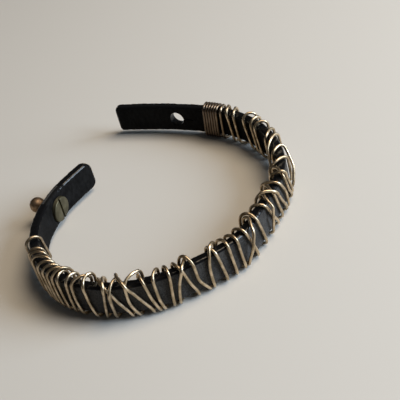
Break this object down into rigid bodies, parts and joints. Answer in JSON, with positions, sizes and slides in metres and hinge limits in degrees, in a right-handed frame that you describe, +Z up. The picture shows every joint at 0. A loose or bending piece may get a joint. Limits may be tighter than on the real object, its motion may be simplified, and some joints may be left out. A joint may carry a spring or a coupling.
{
  "type": "strap bracelet",
  "caption": "Open leather strap bracelet wound with fine brass wire, with a ball stud at one end and a slit button hole at the other.",
  "frame": {"origin": "centre of the bracelet's outline in plan, on the surface it stands on", "axes": "+Z up, across the strap's width; +Y along the loop's longer way, toward the tip with the button hole; +X away from the stud"},
  "size_m": [0.0796, 0.096, 0.0135],
  "materials": {
    "leather": "black, matt faces, glossy painted edges",
    "wire": "antique brass, bright where it is rubbed",
    "stud": "antique brass",
    "screw": "dull brass"
  },
  "bodies": {
    "root": {"leather_strap": "leather", "wire_wrap": "wire", "ball_stud": "stud", "stud_screw": "screw"}
  },
  "joints": []
}
